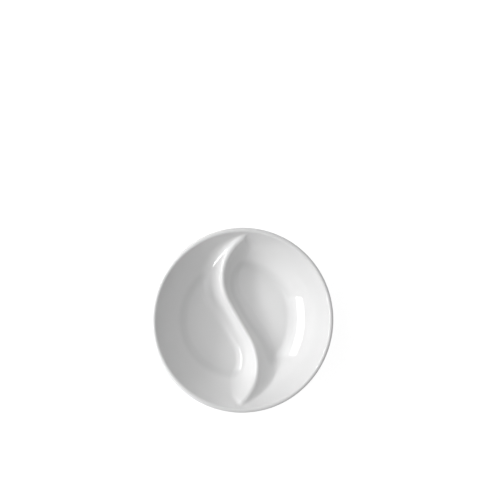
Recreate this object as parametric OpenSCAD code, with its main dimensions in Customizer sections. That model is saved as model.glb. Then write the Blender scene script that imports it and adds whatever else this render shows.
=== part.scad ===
// Round porcelain serving bowl, parted in two by an S-shaped divider that
// rises from the dished floor and runs out into the wall just under the lip.
// Three pieces: the turned shell, the divider luted into it and the foot ring.

/* [Bowl] */
// Outside diameter over the lip
rim_d = 140; // [132:1:166]
// Height from the table to the top of the lip
bowl_h = 40; // [37:0.5:46]
// Thickness of the wall where it leaves the floor
wall_t = 4.6; // [3.8:0.1:5.6]
// Thickness of the rounded lip
lip_t = 3.8; // [3:0.1:4.6]
// Thickness of the floor at its middle
floor_t = 5.8; // [4.2:0.1:6]
// Radius of the dished floor, out to the knuckle
floor_r = 37.6; // [34:0.5:41]
// Depth of the dish in the floor
floor_dish = 3; // [2.4:0.1:3.8]
// Radius of the knuckle that turns the floor up into the wall
knuckle_r = 15; // [10:0.5:18]
// Radius of the gentle curve of the wall, from the knuckle to the lip
wall_r = 82; // [70:1:120]

/* [Foot] */
// Outside diameter of the foot at its seat under the shell
foot_d = 66; // [56:0.5:70]
// Clearance between the table and the middle of the base
foot_gap = 3.8; // [2.6:0.1:4.6]
// Width of the unglazed band that stands on the table
foot_band = 2.4; // [2:0.1:3]
// Rounding of the two edges of the band
foot_round = 0.8; // [0.6:0.05:1]
// How far each side of the foot spreads towards the shell
foot_flare = 1.2; // [0.8:0.1:1.6]

/* [Divider line] */
// Lean of the straight middle from the front-to-back line, in degrees
lean = 30.3; // [24:0.5:36]
// Length of the straight middle
straight_l = 30.3; // [20:0.5:38]
// Radius of each bend next to the straight
bend_r = 42; // [34:0.5:50]
// Radius of each bend from its widest place to the wall
hook_r = 37.3; // [34:0.5:46]

/* [Divider section] */
// Diameter of the rounded crest
crest_d = 4.3; // [3.6:0.1:5.4]
// Diameter of the crest where it has widened into the wall
flare_d = 6.4; // [5:0.5:12]
// Share of the bowl's radius at which the crest begins to widen
flare_share = 0.5; // [0.4:0.05:0.8]
// How far the crest sags between its two ends
crest_dip = 16; // [11:0.5:18]
// Slope of the faces up to where the crest begins to widen, in degrees
face_slope = 57; // [48:1:62]
// Slope of the face on the outside of a bend where it meets the wall, in degrees
outside_slope = 37; // [32:1:48]
// Slope of the face on the inside of a bend where it meets the wall, in degrees
inside_slope = 51; // [47:1:58]
// Height of the fillets in the middle of the divider
blend_middle = 10; // [5:0.5:12]
// Height of the fillet at the foot on the outside of a bend
blend_outside = 14.5; // [10:0.5:18]
// Height of the fillet at the foot on the inside of a bend
blend_inside = 8; // [6:0.5:14]
// Height of the fillet where the crest runs out into the wall
blend_end = 1.9; // [1.2:0.1:2.6]
// Thickness left at the edge of the fillets
edge_t = 0.15; // [0.1:0.05:0.25]

/* [Hidden] */
$fn = 72;

// Steps in each curve of the turned outlines
floor_steps = 8;
knuckle_steps = 6;
wall_steps = 6;
lip_steps = 8;
edge_steps = 4;
// Steps in the divider: along each half, over the crest, down a face and round a fillet
half_steps = 24;
crest_steps = 4;
face_steps = 2;
fillet_steps = 6;
// Halvings when a place is searched for; each one doubles the accuracy
halvings = 24;

lip_r = lip_t / 2;

function last(list) = list[len(list) - 1];
function drop_first(list) = [for (i = [1:len(list) - 1]) list[i]];
function backwards(list) = [for (i = [len(list) - 1:-1:0]) list[i]];
function mix(a, b, t) = a + (b - a) * t;
function smooth(t) = t * t * (3 - 2 * t);

// Points of an arc from a start, given the slope there and at the end, both
// measured from level. It curves to the other side when r is negative.
function arc_run(start, r, slope_a, slope_b, steps) = [
    for (i = [0:steps])
        let (a = mix(slope_a, slope_b, i / steps))
            start + r * [sin(a) - sin(slope_a), cos(slope_a) - cos(a)]
];

// Inside of the shell: dished floor, knuckle, wall and lip, each an arc that
// touches the next
dish_r = (floor_r * floor_r + floor_dish * floor_dish) / (2 * floor_dish);
dish_slope = asin(floor_r / dish_r);
floor_run = arc_run([0, foot_gap + floor_t], dish_r, 0, dish_slope, floor_steps);
knuckle_c = last(floor_run) + knuckle_r * [-sin(dish_slope), cos(dish_slope)];
lip_c = [rim_d / 2 - lip_r, bowl_h - lip_r];
reach = norm(lip_c - knuckle_c);
bearing = atan2(lip_c[1] - knuckle_c[1], lip_c[0] - knuckle_c[0]);

// Either side of the wall: the slope where it leaves the knuckle, its centre
// and the slope where it meets the lip. The span is from its centre to the lip's.
wall_arm = wall_r - knuckle_r;
function turn_slope(span) =
    bearing - 90 + acos((wall_arm * wall_arm + reach * reach - span * span) / (2 * wall_arm * reach));
function turn_c(slope) = knuckle_c + wall_arm * [-sin(slope), cos(slope)];
function end_slope(c) = atan2(lip_c[0] - c[0], c[1] - lip_c[1]);

wall_turn = turn_slope(wall_r + lip_r);
wall_end = end_slope(turn_c(wall_turn));
knuckle_run = arc_run(last(floor_run), knuckle_r, dish_slope, wall_turn, knuckle_steps);
wall_run = arc_run(last(knuckle_run), wall_r, wall_turn, wall_end, wall_steps);
lip_start = last(wall_run);
inside = concat(floor_run, drop_first(knuckle_run), drop_first(wall_run));

// Underside of the base, parallel to the dish; its outer part is the foot's seat
base_r = dish_r + floor_t;
foot_r = foot_d / 2;
foot_in = foot_r - 2 * (foot_flare + foot_round) - foot_band;
base_run = arc_run([0, foot_gap], base_r, 0, asin(foot_in / base_r), floor_steps);
seat_run = arc_run(last(base_run), base_r, asin(foot_in / base_r), asin(foot_r / base_r), edge_steps);

// Back of the shell: over the lip and down to the seat
back_turn = turn_slope(wall_r + wall_t - lip_r);
back_end = end_slope(turn_c(back_turn));
lip_run = arc_run(lip_start, -lip_r, wall_end, back_end - 180, lip_steps);
back_run = arc_run(last(lip_run), wall_r + wall_t, back_end, back_turn, wall_steps);
heel_r = knuckle_r + wall_t;
to_seat = last(seat_run) - knuckle_c;
seat_slope = 90 + atan2(to_seat[1], to_seat[0]) + acos(min(1, heel_r / norm(to_seat)));
heel_run = arc_run(last(back_run), heel_r, back_turn, seat_slope, knuckle_steps);

module bowl_shell() {
    color("white")
        rotate_extrude()
            polygon(concat(inside, drop_first(lip_run), drop_first(back_run), drop_first(heel_run),
                backwards(seat_run), drop_first(backwards(base_run))));
}

// Foot ring: a band to stand on, rounded at its edges, with sides that spread
// up to the seat
band_out = foot_r - foot_flare - foot_round;
band_in = band_out - foot_band;

module foot_ring() {
    color("whitesmoke")
        rotate_extrude()
            polygon(concat(
                arc_run([band_out, 0], foot_round, 0, 90, edge_steps),
                backwards(seat_run),
                arc_run([band_in - foot_round, foot_round], foot_round, 270, 360, edge_steps)));
}

// Line of the divider in plan, for one half, at a distance s from the middle:
// a straight, a bend that brings it level with the front-to-back line, and a
// tighter one that leads it into the wall. The other half is this one turned
// half round. Headings are measured to the left of the front-to-back line.
bend_s = straight_l / 2;
hook_s = bend_s + bend_r * lean * PI / 180;
function turned(s, r) = s / r * 180 / PI;
function heading(s) =
    s < bend_s ? lean :
    s < hook_s ? lean - turned(s - bend_s, bend_r) :
    -turned(s - hook_s, hook_r);
function across(a) = [cos(a), sin(a)];
function round_bend(start, r, a, b) = start + r * (across(a) - across(b));
bend_start = bend_s * [-sin(lean), cos(lean)];
hook_start = round_bend(bend_start, bend_r, lean, 0);
function line(s) =
    s < bend_s ? s * [-sin(lean), cos(lean)] :
    s < hook_s ? round_bend(bend_start, bend_r, lean, heading(s)) :
    round_bend(hook_start, hook_r, 0, heading(s));

// Height of the crest, which sags in a parabola between its ends
crest_end_z = lip_start[1] - blend_end;
function crest_z(s) = crest_end_z - crest_dip * (1 - pow(norm(line(s)) / lip_start[0], 2));

// How far the section has changed between where it begins to widen and the wall
function flared(s) =
    smooth(min(1, max(0, (norm(line(s)) / lip_start[0] - flare_share) / (1 - flare_share))));

// Radius of the crest and slope of its face. The side is 1 inside the bend and
// -1 outside it.
function crest_r(s) = mix(crest_d, flare_d, flared(s)) / 2;
function slope(s, side) = mix(face_slope, side > 0 ? inside_slope : outside_slope, flared(s));

// How far from the line the rounding of the crest passes into a face
function round_d(s, side) = crest_r(s) * sin(slope(s, side));

// How far the face lies under the crest at a distance d from the line
function fall(s, d, side) =
    let (r = crest_r(s), start = round_d(s, side), a = slope(s, side))
        d < start
            ? r - sqrt(r * r - d * d)
            : r * (1 - cos(a)) + (d - start) * tan(a);

// A place beside the line
function beside(s, d, side) = line(s) + side * d * across(heading(s));
function shell_z(p) = lookup(norm(p), inside);
function gap(s, d, side) = crest_z(s) - fall(s, d, side) - shell_z(beside(s, d, side));

// Distance from the line at which the face stands h over the shell
function find_d(s, h, side, low = 0, high = rim_d / 2, n = halvings) =
    let (middle = (low + high) / 2)
        n == 0 ? middle :
        gap(s, middle, side) > h
            ? find_d(s, h, side, middle, high, n - 1)
            : find_d(s, h, side, low, middle, n - 1);

// How far from the meeting of face and shell a fillet of height k has thinned
// to a thickness t
function thinned(k, t) = k - sqrt(4 * k * t);

// Length of one half of the line, to where the crest has run out into the wall
function find_end(low, high, n = halvings) =
    let (middle = (low + high) / 2)
        n == 0 ? middle :
        norm(line(middle)) < lip_start[0] && gap(middle, 0, 1) > -thinned(blend_end, 2 * edge_t)
            ? find_end(middle, high, n - 1)
            : find_end(low, middle, n - 1);
half_l = find_end(0, hook_s + hook_r * PI / 2);

// Height of the fillet: alike on both sides in the middle of the line, each
// side's own in its bend, and small where the crest runs out
function blend(s, side) =
    let (share = s / half_l, own = side > 0 ? blend_inside : blend_outside)
        share < 1 / 2
            ? mix(blend_middle, own, smooth(2 * share))
            : mix(own, blend_end, smooth(2 * share - 1));

// Surface of the divider: the higher of face and shell, filleted where they meet
function skin_at(s, d, side) =
    let (k = blend(s, side), g = gap(s, d, side), h = max(0, k - abs(g)), p = beside(s, d, side))
        [p[0], p[1], shell_z(p) + max(0, g) + h * h / (4 * k)];

// Distances of a section's points from the line, on one side
function spread(s, side) =
    let (k = blend(s, side), top = gap(s, 0, side),
        edge = find_d(s, -thinned(k, edge_t), side),
        turn = min(round_d(s, side), edge / 3),
        fillet = top > k ? max(turn, find_d(s, k, side)) : turn)
        concat(
            [for (i = [1:crest_steps]) turn * sin(90 * i / crest_steps)],
            [for (i = [1:face_steps]) mix(turn, fillet, i / face_steps)],
            [for (i = [1:fillet_steps]) mix(fillet, edge, i / fillet_steps)]);
function on_side(s, side) = [for (d = spread(s, side)) skin_at(s, d, side)];
function row(s) = s < 0
    ? backwards([for (p = row(-s)) [-p[0], -p[1], p[2]]])
    : concat(backwards(on_side(s, -1)), [skin_at(s, 0, 1)], on_side(s, 1));
rows = [for (j = [-half_steps:half_steps]) row(half_l * j / half_steps)];

// A skin of rows of points, closed by a second one under it
function grid_faces(first, m, n, flip) = [
    for (j = [0:n - 2], i = [0:m - 2])
        let (a = first + j * m + i, b = a + 1, c = a + m, d = c + 1)
            each flip ? [[a, b, d], [a, d, c]] : [[a, d, b], [a, c, d]]
];
function edge_faces(m, n) = concat(
    [for (j = [0:n - 2]) let (a = j * m, b = a + m, u = m * n) each
        [[a, a + u, b + u], [a, b + u, b]]],
    [for (j = [0:n - 2]) let (a = j * m + m - 1, b = a + m, u = m * n) each
        [[a, b + u, a + u], [a, b, b + u]]],
    [for (i = [0:m - 2]) let (a = i, b = a + 1, u = m * n) each
        [[a, b + u, a + u], [a, b, b + u]]],
    [for (i = [0:m - 2]) let (a = (n - 1) * m + i, b = a + 1, u = m * n) each
        [[a, a + u, b + u], [a, b + u, b]]]);

module s_divider() {
    m = len(rows[0]);
    n = len(rows);
    skin = [for (row = rows) each row];
    color("ghostwhite")
        polyhedron(
            concat(skin, [for (p = skin) [p[0], p[1], shell_z([p[0], p[1]])]]),
            concat(grid_faces(0, m, n, false), grid_faces(m * n, m, n, true), edge_faces(m, n)));
}

bowl_shell();
s_divider();
foot_ring();
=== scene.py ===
from math import acos, asin, atan2, cos, hypot, pi, radians, sin, sqrt, tan

import bmesh
import bpy
from mathutils import Matrix, Vector


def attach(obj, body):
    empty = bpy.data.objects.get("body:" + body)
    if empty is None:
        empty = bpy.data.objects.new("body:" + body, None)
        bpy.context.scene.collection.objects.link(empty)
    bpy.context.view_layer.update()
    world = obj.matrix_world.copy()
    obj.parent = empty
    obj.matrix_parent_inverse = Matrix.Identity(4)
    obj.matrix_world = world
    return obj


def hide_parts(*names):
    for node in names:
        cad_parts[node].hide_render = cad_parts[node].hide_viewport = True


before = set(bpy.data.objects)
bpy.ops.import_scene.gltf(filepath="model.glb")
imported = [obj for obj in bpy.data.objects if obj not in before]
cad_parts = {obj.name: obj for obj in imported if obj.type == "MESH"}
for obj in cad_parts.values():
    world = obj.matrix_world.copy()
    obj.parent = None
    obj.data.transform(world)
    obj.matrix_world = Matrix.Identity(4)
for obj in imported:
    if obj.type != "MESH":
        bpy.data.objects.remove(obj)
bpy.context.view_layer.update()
print("frame loaded")

mm = 0.001  # every size below is in millimetres


# The shell is one turned outline of arcs that touch each other
shellSizes = {
    "rimRadius": 70.0,
    "height": 40.0,
    "wallThickness": 4.6,
    "lipThickness": 3.8,
    "floorThickness": 5.8,
    "floorRadius": 37.6,
    "floorDish": 3.0,
    "knuckleRadius": 15.0,
    "wallRadius": 82.0,
    "footGap": 3.8,
    "footRadius": 33.0,
    "floorSteps": 40,
    "knuckleSteps": 24,
    "wallSteps": 40,
    "lipSteps": 32,
    "seatSteps": 2,
    "baseSteps": 24,
    "turnSteps": 192,
    "weld": 0.001,  # how near two points are made one
}


def shellFacts(size):
    # radii, centres and slopes of the arcs that the outline is made of
    f = dict(size)
    f["lip"] = f["lipThickness"] / 2
    f["dish"] = (f["floorRadius"] ** 2 + f["floorDish"] ** 2) / (2 * f["floorDish"])
    f["dishSlope"] = asin(f["floorRadius"] / f["dish"])
    f["base"] = f["dish"] + f["floorThickness"]
    f["floorZ"] = f["footGap"] + f["floorThickness"]
    f["dishZ"] = f["floorZ"] + f["dish"]
    f["knuckleX"] = f["floorRadius"] - f["knuckleRadius"] * sin(f["dishSlope"])
    f["knuckleZ"] = f["floorZ"] + f["floorDish"] + f["knuckleRadius"] * cos(f["dishSlope"])
    f["lipX"] = f["rimRadius"] - f["lip"]
    f["lipZ"] = f["height"] - f["lip"]
    reach = hypot(f["lipX"] - f["knuckleX"], f["lipZ"] - f["knuckleZ"])
    bearing = atan2(f["lipZ"] - f["knuckleZ"], f["lipX"] - f["knuckleX"])
    arm = f["wallRadius"] - f["knuckleRadius"]
    # each side of the wall is an arc that touches the knuckle's and the lip's
    for side, span in (("wall", f["wallRadius"] + f["lip"]),
                       ("back", f["wallRadius"] + f["wallThickness"] - f["lip"])):
        turn = bearing + acos((arm ** 2 + reach ** 2 - span ** 2) / (2 * arm * reach)) - pi / 2
        f[side + "Turn"] = turn
        f[side + "X"] = f["knuckleX"] - arm * sin(turn)
        f[side + "Z"] = f["knuckleZ"] + arm * cos(turn)
        f[side + "End"] = atan2(f["lipX"] - f[side + "X"], f[side + "Z"] - f["lipZ"])
    f["knuckleEnd"] = f["knuckleX"] + f["knuckleRadius"] * sin(f["wallTurn"])
    f["innerX"] = f["lipX"] - f["lip"] * sin(f["wallEnd"])
    f["innerZ"] = f["lipZ"] + f["lip"] * cos(f["wallEnd"])
    return f


shell = shellFacts(shellSizes)


def undersideHeight(x):
    # height of the shell's underside within the foot
    return shell["dishZ"] - sqrt(shell["base"] ** 2 - x * x)


def carryRound(bm, vert, centreX, centreZ, turn, steps):
    # the outline's end goes round a centre; a positive turn curves it upwards
    done = bmesh.ops.spin(bm, geom=[vert], cent=(centreX * mm, 0, centreZ * mm), axis=(0, -1, 0),
                          dvec=(0, 0, 0), angle=turn, steps=steps, use_duplicate=False)
    return [g for g in done["geom_last"] if isinstance(g, bmesh.types.BMVert)][0]


def carryTo(bm, vert, x, z, steps):
    # the outline's end goes straight to a place
    start, end = vert.co.copy(), Vector((x * mm, 0, z * mm))
    for i in range(1, steps + 1):
        vert = bmesh.ops.extrude_vert_indiv(bm, verts=[vert])["verts"][0]
        vert.co = start.lerp(end, i / steps)
    return vert


def turnOutline(bm):
    # the drawn outline becomes a closed body of revolution
    bmesh.ops.spin(bm, geom=bm.verts[:] + bm.edges[:], cent=(0, 0, 0), axis=(0, 0, 1),
                   dvec=(0, 0, 0), angle=2 * pi, steps=shell["turnSteps"], use_merge=True,
                   use_duplicate=False)
    bmesh.ops.remove_doubles(bm, verts=bm.verts[:], dist=shell["weld"] * mm)


def finishPiece(bm, name, node):
    # faces point outwards and shade softly, and the piece stands for its solid
    bmesh.ops.recalc_face_normals(bm, faces=bm.faces[:])
    for face in bm.faces:
        face.smooth = True
    mesh = bpy.data.meshes.new(name)
    bm.to_mesh(mesh)
    bm.free()
    piece = bpy.data.objects.new(name, mesh)
    bpy.context.scene.collection.objects.link(piece)
    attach(piece, "root")
    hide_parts(node)
    print(name, "made of", len(mesh.polygons), "faces")
    return piece


def makeShell():
    f = shell
    bm = bmesh.new()
    v = bm.verts.new((0, 0, f["floorZ"] * mm))
    # inside, from the middle of the floor to the lip and over it
    v = carryRound(bm, v, 0, f["dishZ"], f["dishSlope"], f["floorSteps"])
    v = carryRound(bm, v, f["knuckleX"], f["knuckleZ"], f["wallTurn"] - f["dishSlope"],
                   f["knuckleSteps"])
    v = carryRound(bm, v, f["wallX"], f["wallZ"], f["wallEnd"] - f["wallTurn"], f["wallSteps"])
    v = carryRound(bm, v, f["lipX"], f["lipZ"], f["backEnd"] - pi - f["wallEnd"], f["lipSteps"])
    # outside, down to the foot and on under the floor
    seatX, seatZ = f["footRadius"], undersideHeight(f["footRadius"])
    toSeat = hypot(seatX - f["knuckleX"], seatZ - f["knuckleZ"])
    back = f["knuckleRadius"] + f["wallThickness"]
    seatSlope = pi / 2 + atan2(seatZ - f["knuckleZ"], seatX - f["knuckleX"]) + acos(back / toSeat)
    v = carryRound(bm, v, f["backX"], f["backZ"], f["backTurn"] - f["backEnd"], f["wallSteps"])
    v = carryRound(bm, v, f["knuckleX"], f["knuckleZ"], seatSlope - f["backTurn"],
                   f["knuckleSteps"])
    v = carryTo(bm, v, seatX, seatZ, f["seatSteps"])
    carryRound(bm, v, 0, f["dishZ"], -asin(seatX / f["base"]), f["baseSteps"])
    turnOutline(bm)
    return finishPiece(bm, "bowlShell", "bowl_shell")


footSizes = {
    "band": 2.4,
    "edgeRound": 0.8,
    "flare": 1.2,
    "bandSteps": 5,
    "roundSteps": 8,
    "sideSteps": 6,
    "seatSteps": 4,
}


def makeFoot():
    # from the band that stands on the table, up outside, along the seat and down inside
    g = footSizes
    seatOut = shell["footRadius"]
    bandOut = seatOut - g["flare"] - g["edgeRound"]
    bandIn = bandOut - g["band"]
    seatIn = bandIn - g["edgeRound"] - g["flare"]
    bm = bmesh.new()
    v = bm.verts.new((bandIn * mm, 0, 0))
    v = carryTo(bm, v, bandOut, 0, g["bandSteps"])
    v = carryRound(bm, v, bandOut, g["edgeRound"], pi / 2, g["roundSteps"])
    v = carryTo(bm, v, seatOut, undersideHeight(seatOut), g["sideSteps"])
    v = carryTo(bm, v, seatIn, undersideHeight(seatIn), g["seatSteps"])
    v = carryTo(bm, v, bandIn - g["edgeRound"], g["edgeRound"], g["sideSteps"])
    carryRound(bm, v, bandIn, g["edgeRound"], pi / 2, g["roundSteps"])
    turnOutline(bm)
    return finishPiece(bm, "footRing", "foot_ring")


# The divider follows an S in plan; a half of it is described from the middle out
dividerSizes = {
    "lean": radians(30.3),
    "straight": 30.3,
    "bendRadius": 42.0,
    "hookRadius": 37.3,
    "crestRadius": 2.15,
    "flareRadius": 3.2,
    "flareStart": 0.5,
    "crestDip": 16.0,
    "faceSlope": radians(57),
    "endSlopeInside": radians(51),
    "endSlopeOutside": radians(37),
    "blendMiddle": 10.0,
    "blendOutside": 14.5,
    "blendInside": 8.0,
    "blendEnd": 1.9,
    "endFade": 7.0,
    "endFadeWidth": 3.0,
    "crestShare": 1 / 3,  # the most of a section's width that the crest's rounding takes
    "edge": 0.001,  # how thin the fillets run out
    "sunk": 0.01,  # how deep the slab's border lies in the shell; its underside is twice as deep
    "crestSteps": 8,
    "faceSteps": 8,
    "filletSteps": 18,
    "halfSteps": 130,
    "endCrowd": 0.8,
}

lineBend = dividerSizes["straight"] / 2  # length along the line to the bend, then to the hook
lineHook = lineBend + dividerSizes["bendRadius"] * dividerSizes["lean"]


def mix(a, b, share):
    return a + (b - a) * share


def ease(share):
    return share * share * (3 - 2 * share)


def shellHeight(x, y):
    # height of the shell's inside; past the wall it stays level
    f = shell
    r = min(hypot(x, y), f["innerX"])
    if r <= f["floorRadius"]:
        return f["dishZ"] - sqrt(f["dish"] ** 2 - r * r)
    if r <= f["knuckleEnd"]:
        return f["knuckleZ"] - sqrt(f["knuckleRadius"] ** 2 - (r - f["knuckleX"]) ** 2)
    return f["wallZ"] - sqrt(f["wallRadius"] ** 2 - (r - f["wallX"]) ** 2)


def lineHeading(s):
    d = dividerSizes
    if s < lineBend:
        return d["lean"]
    if s < lineHook:
        return d["lean"] - (s - lineBend) / d["bendRadius"]
    return -(s - lineHook) / d["hookRadius"]


def roundBend(x, y, radius, a, b):
    return x + radius * (cos(a) - cos(b)), y + radius * (sin(a) - sin(b))


def linePlace(s):
    d = dividerSizes
    straight = min(s, lineBend)
    x, y = -straight * sin(d["lean"]), straight * cos(d["lean"])
    if s > lineBend:
        x, y = roundBend(x, y, d["bendRadius"], d["lean"], max(lineHeading(s), 0))
    if s > lineHook:
        x, y = roundBend(x, y, d["hookRadius"], 0, lineHeading(s))
    return x, y


def crestHeight(s):
    x, y = linePlace(s)
    share = (x * x + y * y) / shell["innerX"] ** 2
    return shell["innerZ"] - dividerSizes["blendEnd"] - dividerSizes["crestDip"] * (1 - share)


def flared(s, name, endName):
    # a size of the section, which changes from where the divider begins to flare
    d = dividerSizes
    share = (hypot(*linePlace(s)) / shell["innerX"] - d["flareStart"]) / (1 - d["flareStart"])
    return mix(d[name], d[endName], ease(min(1, max(0, share))))


def crestForm(s, side):
    # rounding of the crest, slope of the face and where one passes into the other
    rounding = flared(s, "crestRadius", "flareRadius")
    slope = flared(s, "faceSlope", "endSlopeInside" if side > 0 else "endSlopeOutside")
    return rounding, slope, rounding * sin(slope)


def faceFall(s, away, side):
    # how far the crest and face have come down at a distance from the line
    rounding, slope, start = crestForm(s, side)
    if away < start:
        return rounding - sqrt(rounding ** 2 - away ** 2)
    return rounding * (1 - cos(slope)) + (away - start) * tan(slope)


def placeBeside(s, away, side):
    a = lineHeading(s)
    x, y = linePlace(s)
    return x + side * away * cos(a), y + side * away * sin(a)


def overShell(s, away, side):
    return crestHeight(s) - faceFall(s, away, side) - shellHeight(*placeBeside(s, away, side))


def bisect(test, low, high, times=40):
    # the last place at which the test still holds
    for _ in range(times):
        middle = (low + high) / 2
        if test(middle):
            low = middle
        else:
            high = middle
    return low


def reachOver(s, side, gap):
    # how far from the line the face stays more than a gap over the shell
    return bisect(lambda away: overShell(s, away, side) > gap, 0, shell["rimRadius"])


def thinned(k, thickness):
    # gap at which a fillet of height k has thinned to a thickness
    return k - sqrt(4 * k * thickness)


def halfLength():
    # the line ends at the lip, or where its crest has run out in the wall
    least = -thinned(dividerSizes["blendEnd"], 2 * dividerSizes["edge"])

    def stands(s):
        return hypot(*linePlace(s)) < shell["innerX"] and overShell(s, 0, 1) > least

    return bisect(stands, 0, lineHook + dividerSizes["hookRadius"] * pi / 2)


lineLength = halfLength()


def filletHeight(s, side):
    # half way out it comes to the height of its own side, and then to that of the ends
    d = dividerSizes
    share = s / lineLength
    own = d["blendInside"] if side > 0 else d["blendOutside"]
    if share < 0.5:
        return mix(d["blendMiddle"], own, ease(2 * share))
    return mix(own, d["blendEnd"], ease(2 * share - 1))


def skinLift(s, away, side):
    # the higher of face and shell, filleted where they meet, as a height over the shell
    k = filletHeight(s, side)
    gap = overShell(s, away, side)
    h = max(0, k - abs(gap))
    return max(0, gap) + h * h / (4 * k)


def skinPlace(s, away, side):
    d = dividerSizes
    lift = skinLift(s, away, side)
    if side > 0:
        # near its ends the inside sinks softly into the wall beside the crest
        crest = skinLift(s, 0, side) * (1 - ease(min(1, away / d["endFadeWidth"])))
        lift = mix(min(lift, crest), lift, ease(min(1, (lineLength - s) / d["endFade"])))
    x, y = placeBeside(s, away, side)
    return x, y, shellHeight(x, y) + lift


def sectionSpread(s, side):
    # how far from the line the columns of a section stand, from the crest out
    d = dividerSizes
    k = filletHeight(s, side)
    edge = reachOver(s, side, -thinned(k, d["edge"]))
    turn = min(crestForm(s, side)[2], edge * d["crestShare"])
    fillet = turn
    if overShell(s, 0, side) > k:
        fillet = max(turn, reachOver(s, side, k))
    n, m, q = d["crestSteps"], d["faceSteps"], d["filletSteps"]
    return ([turn * sin(pi / 2 * i / n) for i in range(n + 1)]
            + [mix(turn, fillet, i / m) for i in range(1, m + 1)]
            + [mix(fillet, edge, i / q) for i in range(1, q + 1)])


def isBorder(edge):
    # an edge along the rim of the sheet or of its lower side, both of which reach from -1 to 1
    a, b = edge.verts[0].co, edge.verts[1].co
    level = abs(a.z - b.z) < 0.5
    return level and any(min(abs(a[i]), abs(b[i])) > 0.999 and a[i] * b[i] > 0 for i in (0, 1))


def makeDivider():
    d = dividerSizes
    columns = d["crestSteps"] + d["faceSteps"] + d["filletSteps"]
    rows = d["halfSteps"]
    # the glaze is thin from the crest to half down the face
    thinTo = d["crestSteps"] + d["faceSteps"] / 2
    bm = bmesh.new()
    # a flat sheet with a row for each step along the S, thickened into a slab
    bmesh.ops.create_grid(bm, x_segments=2 * columns, y_segments=2 * rows, size=1)
    slab = bmesh.ops.extrude_face_region(bm, geom=bm.faces[:])
    bm.edges.index_update()
    for g in slab["geom"]:
        if isinstance(g, bmesh.types.BMVert):
            g.co.z = -1
    # the slab's skin doesn't shade over its border
    border = {edge.index for edge in bm.edges if isBorder(edge)}
    thinGlaze = bm.verts.layers.float.new("thinGlaze")
    spreads = {}
    for v in bm.verts:
        row = round(v.co.y * rows)
        column = round(v.co.x * columns)
        half = 1 if row >= 0 else -1
        share = abs(row) / rows
        s = lineLength * mix(share, sin(pi / 2 * share), d["endCrowd"])
        side = half * (1 if column > 0 else -1)
        if (s, side) not in spreads:
            spreads[s, side] = sectionSpread(s, side)
        x, y, z = skinPlace(s, spreads[s, side][abs(column)], side)
        if v.co.z < 0 or abs(column) == columns or abs(row) == rows:
            z = shellHeight(x, y) - d["sunk"]
        if v.co.z < 0:
            z -= d["sunk"]
        v.co = (half * x * mm, half * y * mm, z * mm)
        v[thinGlaze] = max(0, 1 - abs(column) / thinTo)
    for edge in bm.edges:
        edge.smooth = edge.index not in border
    return finishPiece(bm, "sDivider", "s_divider")


shellPiece = makeShell()
dividerPiece = makeDivider()
footPiece = makeFoot()


# Glaze of all three pieces; heights are over the table, and each noise has a size and a detail
glazeLook = {
    "glaze": (0.87, 0.87, 0.87, 1),
    # pooled glaze colour, which in the hollow around the floor is also painted shade
    "pooledAndShaded": (0.79, 0.792, 0.792, 1),
    "shadeAndPoolTop": 18.0,
    "shadeAndPoolDeep": 14.0,
    "shadeAndPoolFloor": 11.2,
    "floorShare": 0.3,
    "footShare": 0.6,
    "facingEdges": (0.0, 0.2),  # how far a face looks up where the pooled glaze and painted shade begin and are whole
    "lipShare": 0.6,  # how far up the rounding of the lip the glaze begins to thin
    "gloss": 0.03,
    "glossChange": 0.015,
    "bend": 1.55,  # of light
    "edgeRub": 0.02,
    "clouds": (22.0, 4.0),
    "cloudEdges": (0.35, 0.65),
    "cloudShare": 0.12,
    "smears": (8.0, 5.0),
    "waves": (16.0, 1.0),
    "peel": (1.1, 2.0),
    "peelShare": 0.03,
    "relief": 0.06,
    "speck": (0.2, 0.19, 0.18, 1),
    "speckShade": 0.3,
    "speckCells": 1.1,
    "speckSize": 0.12,  # of a cell
    "speckless": 0.985,  # of the cells
}


def addNode(tree, kind, inputs, **settings):
    # a node with its settings; each of its inputs gets a value or a link
    node = tree.nodes.new(kind)
    for key, value in settings.items():
        setattr(node, key, value)
    for key, value in inputs.items():
        if isinstance(value, bpy.types.NodeSocket):
            tree.links.new(value, node.inputs[key])
        else:
            node.inputs[key].default_value = value
    return node


def mathNode(tree, operation, a, b, c=0.0, clamp=False):
    node = addNode(tree, "ShaderNodeMath", {0: a, 1: b, 2: c}, operation=operation,
                   use_clamp=clamp)
    return node.outputs[0]


def rangeNode(tree, value, low, high, start=0.0, end=1.0):
    # goes softly from start to end while the value goes from low to high
    ends = {"Value": value, "From Min": low, "From Max": high, "To Min": start, "To Max": end}
    node = addNode(tree, "ShaderNodeMapRange", ends, interpolation_type="SMOOTHSTEP")
    return node.outputs["Result"]


def mixColour(tree, share, a, b):
    return addNode(tree, "ShaderNodeMix", {0: share, 6: a, 7: b}, data_type="RGBA").outputs[2]


def noiseNode(tree, place, size, detail):
    values = {"Vector": place, "Scale": 1 / (size * mm), "Detail": detail}
    return addNode(tree, "ShaderNodeTexNoise", values).outputs["Fac"]


def upward(tree, vector):
    return addNode(tree, "ShaderNodeSeparateXYZ", {"Vector": vector}).outputs["Z"]


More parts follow.
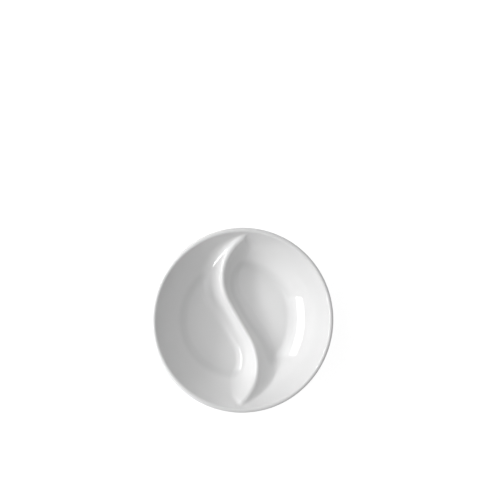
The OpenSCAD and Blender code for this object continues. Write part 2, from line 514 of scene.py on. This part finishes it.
def makeGlazeGroup():
    # what every glazed surface shares: clouds of tone, pools of glaze with painted shade, specks,
    # waves and peel
    g = glazeLook
    tree = bpy.data.node_groups.new("glazeSurface", "ShaderNodeTree")
    for way, name, kind in (("INPUT", "Glaze", "Color"), ("INPUT", "Pooled And Shaded", "Color"),
                            ("INPUT", "Pool And Shade", "Float"), ("INPUT", "Thin", "Float"),
                            ("INPUT", "Gloss", "Float"), ("INPUT", "Gloss Change", "Float"),
                            ("OUTPUT", "Colour", "Color"), ("OUTPUT", "Roughness", "Float"),
                            ("OUTPUT", "Relief", "Float")):
        tree.interface.new_socket(name, in_out=way, socket_type="NodeSocket" + kind)
    given = tree.nodes.new("NodeGroupInput").outputs
    place = tree.nodes.new("ShaderNodeTexCoord").outputs["Object"]
    cloud = rangeNode(tree, noiseNode(tree, place, *g["clouds"]), *g["cloudEdges"])
    # random clouds of tone, plus the pooled glaze and painted shade in the hollow
    poolAndShade = mathNode(tree, "MULTIPLY_ADD", cloud, g["cloudShare"], given["Pool And Shade"], clamp=True)
    tone = mixColour(tree, poolAndShade, given["Glaze"], given["Pooled And Shaded"])
    # specks sit in a few of the cells, each a small dark point with a pit
    values = {"Vector": place, "Scale": 1 / (g["speckCells"] * mm)}
    cells = addNode(tree, "ShaderNodeTexVoronoi", values).outputs
    near = rangeNode(tree, cells["Distance"], g["speckSize"], g["speckSize"] / 2)
    lot = addNode(tree, "ShaderNodeSeparateColor", {"Color": cells["Color"]}).outputs[0]
    speck = mathNode(tree, "MULTIPLY", near, mathNode(tree, "GREATER_THAN", lot, g["speckless"]))
    shade = mathNode(tree, "MULTIPLY", speck, g["speckShade"])
    # gloss changes in wide smears, and is rubbed a little where the glaze is thin
    smear = mathNode(tree, "SUBTRACT", noiseNode(tree, place, *g["smears"]), 0.5)
    gloss = mathNode(tree, "MULTIPLY_ADD", smear, given["Gloss Change"], given["Gloss"])
    gloss = mathNode(tree, "MULTIPLY_ADD", given["Thin"], g["edgeRub"], gloss, clamp=True)
    # relief of the fired glaze
    wave = noiseNode(tree, place, *g["waves"])
    peel = mathNode(tree, "MULTIPLY_ADD", noiseNode(tree, place, *g["peel"]), g["peelShare"], wave)
    relief = mathNode(tree, "MULTIPLY_ADD", speck, -g["peelShare"], peel)
    addNode(tree, "NodeGroupOutput", {"Colour": mixColour(tree, shade, tone, g["speck"]),
                                      "Roughness": gloss, "Relief": relief})
    return tree


glazeGroup = makeGlazeGroup()


def glazeMaterial(name, thin, poolAndShade):
    # a glazed finish and its nodes; thin and the pooled glaze with painted shade are numbers or
    # make masks from the height
    g = glazeLook
    mat = bpy.data.materials.new(name)
    mat.use_nodes = True
    tree = mat.node_tree
    shader = tree.nodes["Principled BSDF"]
    shader.inputs["IOR"].default_value = g["bend"]
    place = tree.nodes.new("ShaderNodeTexCoord").outputs["Object"]
    height = upward(tree, place)
    thin, poolAndShade = [mask(tree, height) if callable(mask) else mask for mask in (thin, poolAndShade)]
    values = {"Glaze": g["glaze"], "Pooled And Shaded": g["pooledAndShaded"], "Pool And Shade": poolAndShade, "Thin": thin,
              "Gloss": g["gloss"], "Gloss Change": g["glossChange"]}
    glaze = addNode(tree, "ShaderNodeGroup", values, node_tree=glazeGroup).outputs
    bump = addNode(tree, "ShaderNodeBump", {"Height": glaze["Relief"],
                                            "Distance": g["relief"] * mm})
    tree.links.new(glaze["Colour"], shader.inputs["Base Color"])
    tree.links.new(glaze["Roughness"], shader.inputs["Roughness"])
    tree.links.new(bump.outputs["Normal"], shader.inputs["Normal"])
    return mat, {"shader": shader, "place": place, "height": height, "glaze": glaze, "bump": bump}


def shadeAndPoolInHollow(tree, height):
    # painted shade: darker in the hollow of the knuckle around the floor, partly glaze that
    # gathers there, and less on the floor itself
    g = glazeLook
    below = rangeNode(tree, height, g["shadeAndPoolFloor"] * mm, g["shadeAndPoolDeep"] * mm, g["floorShare"])
    above = rangeNode(tree, height, g["shadeAndPoolTop"] * mm, g["shadeAndPoolDeep"] * mm)
    # only where the surface faces up, so not on the bowl's outside
    facing = upward(tree, tree.nodes.new("ShaderNodeTexCoord").outputs["Normal"])
    inside = rangeNode(tree, facing, *g["facingEdges"])
    return mathNode(tree, "MULTIPLY", mathNode(tree, "MULTIPLY", below, above), inside)


def thinOnLip(tree, height):
    start = shell["lipZ"] + glazeLook["lipShare"] * shell["lip"]
    return rangeNode(tree, height, start * mm, shell["height"] * mm)


def thinOnCrest(tree, height):
    return addNode(tree, "ShaderNodeAttribute", {}, attribute_name="thinGlaze").outputs["Fac"]


# The band that the bowl stands on is left bare
bandLook = {
    "clay": (0.76, 0.755, 0.74, 1),
    "rubbed": (0.58, 0.575, 0.565, 1),
    "rub": (2.2, 5.0),
    "rubEdges": (0.52, 0.7),
    "roughness": 0.62,
    "roughChange": 0.2,
    "grain": (0.35, 4.0),
    "grainRelief": 0.35,
    "lineHeight": 0.75,
    "lineSoftness": 0.1,
    "wander": (5.0, 2.0),
    "lineWander": 0.5,
    "glazeStep": 0.6,
}


def makeFootMaterial():
    b = bandLook
    mat, part = glazeMaterial("foot_ring", 0.0, glazeLook["footShare"])
    tree, shader, place, glaze = mat.node_tree, part["shader"], part["place"], part["glaze"]
    # the glaze ends in a wandering line above the bare clay
    wander = mathNode(tree, "SUBTRACT", noiseNode(tree, place, *b["wander"]), 0.5)
    line = mathNode(tree, "MULTIPLY_ADD", wander, b["lineWander"] * mm, part["height"])
    low, high = b["lineHeight"] - b["lineSoftness"], b["lineHeight"] + b["lineSoftness"]
    glazed = rangeNode(tree, line, low * mm, high * mm)
    bare = mathNode(tree, "SUBTRACT", 1.0, glazed)
    rub = rangeNode(tree, noiseNode(tree, place, *b["rub"]), *b["rubEdges"])
    clay = mixColour(tree, rub, b["clay"], b["rubbed"])
    tree.links.new(mixColour(tree, glazed, clay, glaze["Colour"]), shader.inputs["Base Color"])
    # the clay is rough and grainy, and the glaze stands a step higher
    grain = noiseNode(tree, place, *b["grain"])
    rough = mathNode(tree, "MULTIPLY_ADD", grain, b["roughChange"], b["roughness"])
    rough = mathNode(tree, "MULTIPLY", rough, bare)
    rough = mathNode(tree, "MULTIPLY_ADD", glaze["Roughness"], glazed, rough)
    tree.links.new(rough, shader.inputs["Roughness"])
    grit = mathNode(tree, "MULTIPLY", grain, b["grainRelief"])
    grit = mathNode(tree, "MULTIPLY", grit, bare)
    relief = mathNode(tree, "MULTIPLY_ADD", glaze["Relief"], glazed, grit)
    relief = mathNode(tree, "MULTIPLY_ADD", glazed, b["glazeStep"], relief)
    tree.links.new(relief, part["bump"].inputs["Height"])
    return mat


shellPiece.data.materials.append(glazeMaterial("shell_glaze", thinOnLip, shadeAndPoolInHollow)[0])
dividerPiece.data.materials.append(glazeMaterial("divider_glaze", thinOnCrest, shadeAndPoolInHollow)[0])
footPiece.data.materials.append(makeFootMaterial())
print("finishes made")


# A pale floor in an even white room
studio = {
    "floorSize": 4000.0,
    "floorColour": (0.9, 0.9, 0.9, 1),
    "floorGlow": 0.93,
    "floorShade": (0.2, 0.2, 0.2, 1),
    "floorGap": 0.05,
    "roomColour": (1, 1, 1, 1),
    "roomLight": 0.295,
    "roomWhite": 1.0,
}


def whereSeen(tree):
    # 1 for rays from the camera, a gloss or a glass, and 0 for those that gather plain light
    path = tree.nodes.new("ShaderNodeLightPath").outputs
    seen = mathNode(tree, "MAXIMUM", path["Is Camera Ray"], path["Is Glossy Ray"])
    return mathNode(tree, "MAXIMUM", seen, path["Is Transmission Ray"])


def mixShader(tree, share, a, b):
    return addNode(tree, "ShaderNodeMixShader", {0: share, 1: a, 2: b}).outputs[0]


def makeFloorMaterial():
    mat = bpy.data.materials.new("floor")
    mat.use_nodes = True
    tree = mat.node_tree
    tree.nodes.clear()
    plain = addNode(tree, "ShaderNodeBsdfDiffuse", {"Color": studio["floorColour"]}).outputs[0]
    # white by itself, with the bowl's shadow in what little light it takes
    shaded = addNode(tree, "ShaderNodeBsdfDiffuse", {"Color": studio["floorShade"]}).outputs[0]
    glow = addNode(tree, "ShaderNodeEmission", {"Strength": studio["floorGlow"]}).outputs[0]
    white = addNode(tree, "ShaderNodeAddShader", {0: shaded, 1: glow}).outputs[0]
    top = mixShader(tree, whereSeen(tree), plain, white)
    # from below, the floor lets the foot be seen
    clear = tree.nodes.new("ShaderNodeBsdfTransparent").outputs[0]
    back = tree.nodes.new("ShaderNodeNewGeometry").outputs["Backfacing"]
    addNode(tree, "ShaderNodeOutputMaterial", {"Surface": mixShader(tree, back, top, clear)})
    return mat


def makeFloor():
    bm = bmesh.new()
    bmesh.ops.create_grid(bm, x_segments=1, y_segments=1, size=studio["floorSize"] / 2 * mm)
    bmesh.ops.translate(bm, verts=bm.verts[:], vec=(0, 0, -studio["floorGap"] * mm))
    mesh = bpy.data.meshes.new("floor")
    bm.to_mesh(mesh)
    bm.free()
    floor = bpy.data.objects.new("floor", mesh)
    bpy.context.scene.collection.objects.link(floor)
    floor.data.materials.append(makeFloorMaterial())


def makeRoom():
    # the room lights evenly, and is white where it is seen
    world = bpy.data.worlds.new("room")
    bpy.context.scene.world = world
    world.use_nodes = True
    tree = world.node_tree
    tree.nodes.clear()

    def glow(strength):
        values = {"Color": studio["roomColour"], "Strength": strength}
        return addNode(tree, "ShaderNodeBackground", values).outputs[0]

    light, white = glow(studio["roomLight"]), glow(studio["roomWhite"])
    room = mixShader(tree, whereSeen(tree), light, white)
    addNode(tree, "ShaderNodeOutputWorld", {"Surface": room})


# Each lamp's bearing and height over the table in degrees, its distance, width, height and power
lamps = {
    "softbox": (174.0, 26.2, 666.0, 740.0, 94.0, 2.25),
    "fill": (172.0, 45.0, 1200.0, 1500.0, 1000.0, 5.7),
    "side": (135.0, 45.0, 1200.0, 700.0, 700.0, 1.0),
}


def makeLamps():
    for name, (turn, rise, distance, width, height, power) in lamps.items():
        light = bpy.data.lights.new(name, "AREA")
        light.shape = "RECTANGLE"
        light.size = width * mm
        light.size_y = height * mm
        light.energy = power
        lamp = bpy.data.objects.new(name, light)
        bpy.context.scene.collection.objects.link(lamp)
        a, e = radians(turn), radians(rise)
        toLamp = Vector((cos(a) * cos(e), sin(a) * cos(e), sin(e)))
        lamp.location = toLamp * distance * mm
        lamp.rotation_euler = toLamp.to_track_quat("Z", "Y").to_euler()


# The camera looks down from a little to the left; scale is pixels to a millimetre at the rim
camera = {
    "tilt": radians(10.5),
    "turn": radians(-10),
    "distance": 1500.0,
    "pixels": 500,
    "scale": 1.3225,
    "bowlPixel": (243.5, 320.3),
}


def makeCamera():
    c = camera
    toCamera = Vector((-sin(c["tilt"]) * cos(c["turn"]), -sin(c["tilt"]) * sin(c["turn"]),
                       cos(c["tilt"])))
    right = Vector((0, 1, 0)).cross(toCamera).normalized()
    up = toCamera.cross(right)
    middle = Vector((0, 0, shell["height"] * mm))
    cam = bpy.data.cameras.new("camera")
    cam.lens = cam.sensor_width * c["distance"] * c["scale"] / c["pixels"]
    eye = bpy.data.objects.new("camera", cam)
    bpy.context.scene.collection.objects.link(eye)
    eye.location = middle + toCamera * c["distance"] * mm
    # turned so that the middle of the rim comes to its pixel
    offX = (c["pixels"] / 2 - c["bowlPixel"][0]) / c["scale"] * mm
    offY = (c["bowlPixel"][1] - c["pixels"] / 2) / c["scale"] * mm
    look = (eye.location - middle - right * offX - up * offY).normalized()
    side = up.cross(look).normalized()
    eye.rotation_euler = Matrix((side, look.cross(side), look)).transposed().to_euler()
    bpy.context.scene.camera = eye


makeFloor()
makeRoom()
makeLamps()
makeCamera()
bpy.context.scene.view_settings.view_transform = "Standard"
print("studio ready")
